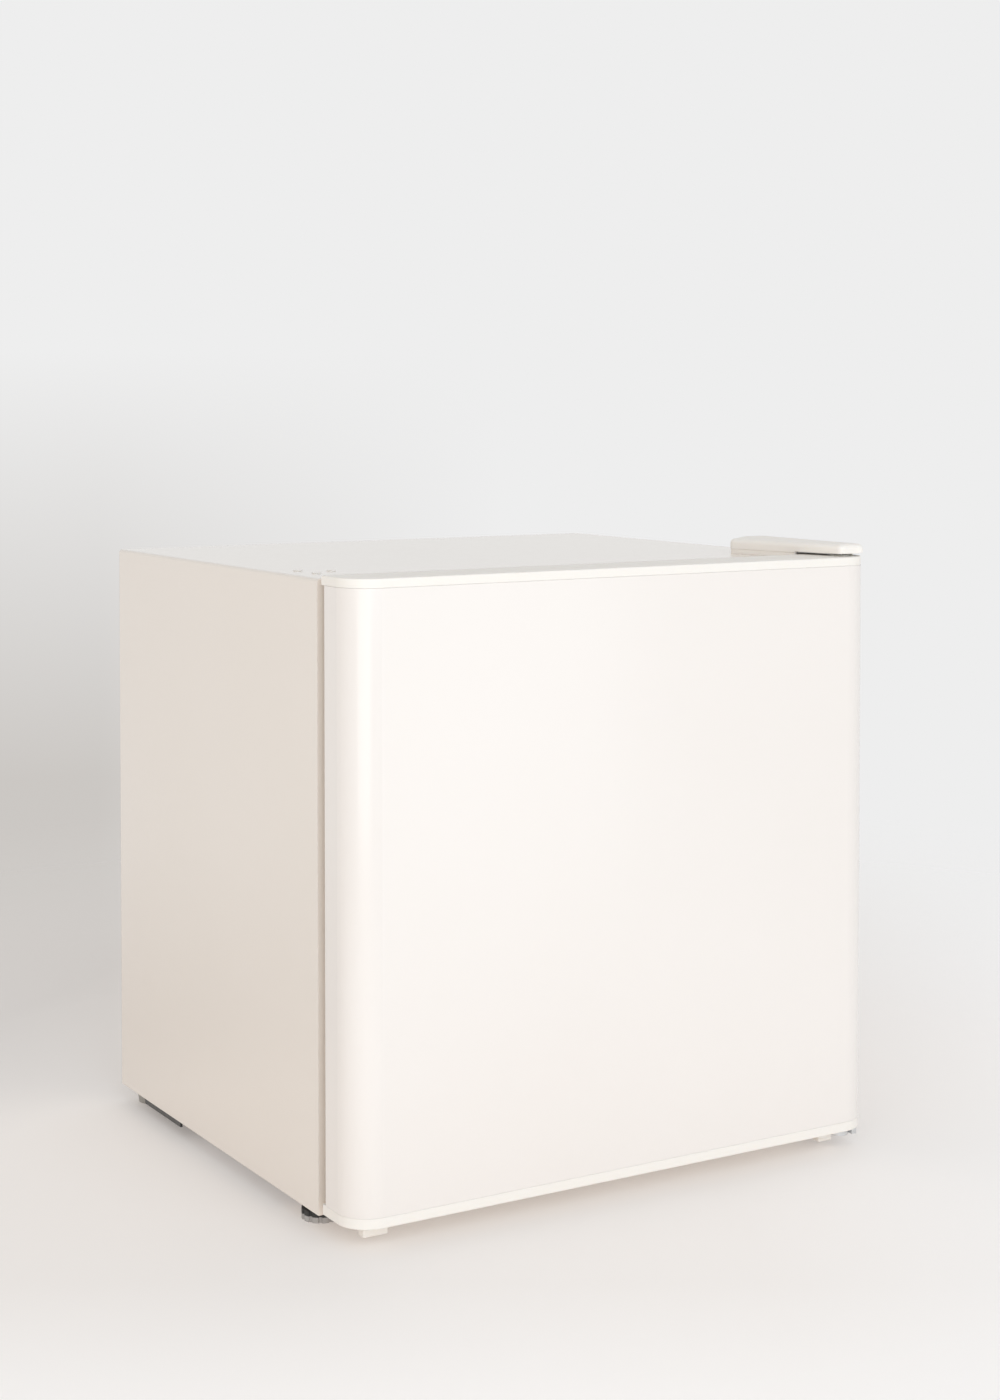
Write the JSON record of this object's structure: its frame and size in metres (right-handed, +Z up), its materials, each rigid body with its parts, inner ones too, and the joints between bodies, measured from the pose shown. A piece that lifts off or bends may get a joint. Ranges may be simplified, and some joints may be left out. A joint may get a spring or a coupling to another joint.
{
  "type": "mini fridge",
  "caption": "Free-standing cube fridge with a full-front right-hinged door, ice box, slide-out shelf and tray, door bins, levelling feet and a rear compressor with a wire condenser.",
  "frame": {"origin": "centre of the fridge's footprint box, on the floor under its feet", "axes": "+Z up, +Y towards the back, +X towards the hinge side, so the door faces -Y"},
  "size_m": [0.472, 0.45, 0.4905],
  "materials": {
    "cabinet_paint": "satin off-white enamel",
    "door_paint": "satin off-white enamel",
    "panel_paint": "matt off-white coating",
    "galvanised": "galvanised",
    "zinc": "bright zinc plate",
    "foam": "rigid foam",
    "liner_plastic": "gloss white",
    "cap_plastic": "satin off-white",
    "nylon": "natural nylon",
    "gasket_vinyl": "soft vinyl",
    "clear_plastic": "clear",
    "roll_bond": "plain roll-bond sheet",
    "white_plastic": "gloss white",
    "shelf_coat": "white dip coat",
    "switch_steel": "plated steel",
    "foot_plastic": "black plastic",
    "rear_foot_plastic": "grey plastic",
    "black_enamel": "black enamel",
    "black_plastic": "black plastic",
    "black_rubber": "black rubber",
    "copper": "bare copper"
  },
  "bodies": {
    "cabinet": {"outer_wrapper": "cabinet_paint", "front_rail": "cabinet_paint", "back_panel": "panel_paint", "base_pan": "galvanised", "hinge_anchors": "galvanised", "foot_nuts": "galvanised", "top_hinge_plate": "zinc", "top_hinge_pin": "zinc", "top_hinge_screws": "zinc", "bottom_hinge_bracket": "zinc", "bottom_hinge_pin": "zinc", "bottom_hinge_screws": "zinc", "evaporator_screws": "zinc", "compressor_bolts": "zinc", "condenser_screws": "zinc", "insulation_foam": "foam", "inner_liner": "liner_plastic", "hinge_cover": "cap_plastic", "hole_plugs": "cap_plastic", "evaporator": "roll_bond", "evaporator_spacers": "white_plastic", "ice_box_frame": "white_plastic", "tray_runners": "white_plastic", "thermostat_housing": "white_plastic", "thermostat_switch": "switch_steel", "rear_feet": "rear_foot_plastic", "compressor_plate": "black_enamel", "compressor_shell": "black_enamel", "condenser_tube": "black_enamel", "condenser_wires": "black_enamel", "terminal_cover": "black_plastic", "condenser_clamps": "black_plastic", "compressor_grommets": "black_rubber", "pipe_seals": "black_rubber", "sensing_tube": "copper", "filter_drier": "copper", "discharge_tube": "copper", "suction_tube": "copper", "capillary_tube": "copper", "process_tube": "copper"},
    "door": {"door_skin": "door_paint", "door_top_cap": "cap_plastic", "door_bottom_cap": "cap_plastic", "top_hinge_bush": "nylon", "bottom_hinge_bush": "nylon", "door_foam": "foam", "door_gasket": "gasket_vinyl", "door_liner": "liner_plastic"},
    "lower_bin": {"lower_door_bin": "clear_plastic"},
    "upper_bin": {"upper_door_bin": "clear_plastic"},
    "flap": {"ice_box_flap": "white_plastic"},
    "tray": {"drip_tray": "clear_plastic"},
    "shelf": {"wire_shelf": "shelf_coat"},
    "knob": {"thermostat_knob": "white_plastic", "thermostat_shaft": "switch_steel"},
    "left_foot": {"front_left_foot": "foot_plastic"},
    "right_foot": {"front_right_foot": "foot_plastic"}
  },
  "joints": [
    {"name": "door_swing", "type": "hinge", "parent": "cabinet", "child": "door", "pos_m": [0.221, -0.2025, 0.247], "axis": [0, 0, 1], "range_deg": [0, 115]},
    {"name": "lower_bin_lift", "type": "slide", "parent": "door", "child": "lower_bin", "axis": [0, 0, 1], "range_m": [0, 0.02]},
    {"name": "upper_bin_lift", "type": "slide", "parent": "door", "child": "upper_bin", "axis": [0, 0, 1], "range_m": [0, 0.012]},
    {"name": "flap_hinge", "type": "hinge", "parent": "cabinet", "child": "flap", "pos_m": [-0.035, -0.071, 0.418], "axis": [-1, 0, 0], "range_deg": [0, 85]},
    {"name": "tray_slide", "type": "slide", "parent": "cabinet", "child": "tray", "axis": [0, -1, 0], "range_m": [0, 0.085]},
    {"name": "shelf_slide", "type": "slide", "parent": "cabinet", "child": "shelf", "axis": [0, -1, 0], "range_m": [0, 0.035]},
    {"name": "knob_turn", "type": "hinge", "parent": "cabinet", "child": "knob", "pos_m": [0.145, -0.0578, 0.4075], "axis": [0, -1, 0], "range_deg": [0, 300]},
    {"name": "left_foot_level", "type": "slide", "parent": "cabinet", "child": "left_foot", "axis": [0, 0, -1], "range_m": [0, 0.008]},
    {"name": "right_foot_level", "type": "slide", "parent": "cabinet", "child": "right_foot", "axis": [0, 0, -1], "range_m": [0, 0.008]}
  ]
}
